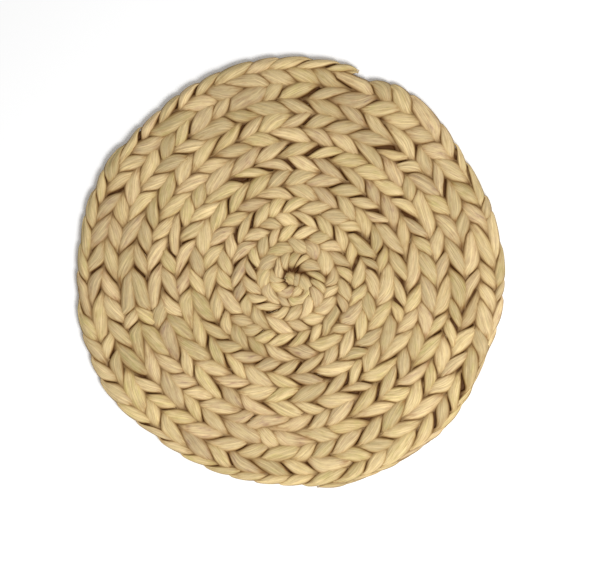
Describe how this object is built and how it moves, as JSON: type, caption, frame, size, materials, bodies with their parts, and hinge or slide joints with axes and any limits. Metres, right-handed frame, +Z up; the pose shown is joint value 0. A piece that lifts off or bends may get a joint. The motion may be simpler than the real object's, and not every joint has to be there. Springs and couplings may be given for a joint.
{
  "type": "round plaited place mat",
  "caption": "Round flat place mat coiled from one long plait of dried, flattened plant stalks, to lie under a plate on a table.",
  "frame": {"origin": "middle of the outline, on the underside that lies on the table", "axes": "+Z up out of the mat's face, +Y towards the side of the rim where the last round ends, +X to the right of it"},
  "size_m": [0.379, 0.3802, 0.0095],
  "materials": {
    "stalk": "matte dried plant stalk, pale straw with fine lengthwise fibres"
  },
  "bodies": {
    "root": {"coiled_plait": "stalk"}
  },
  "joints": []
}
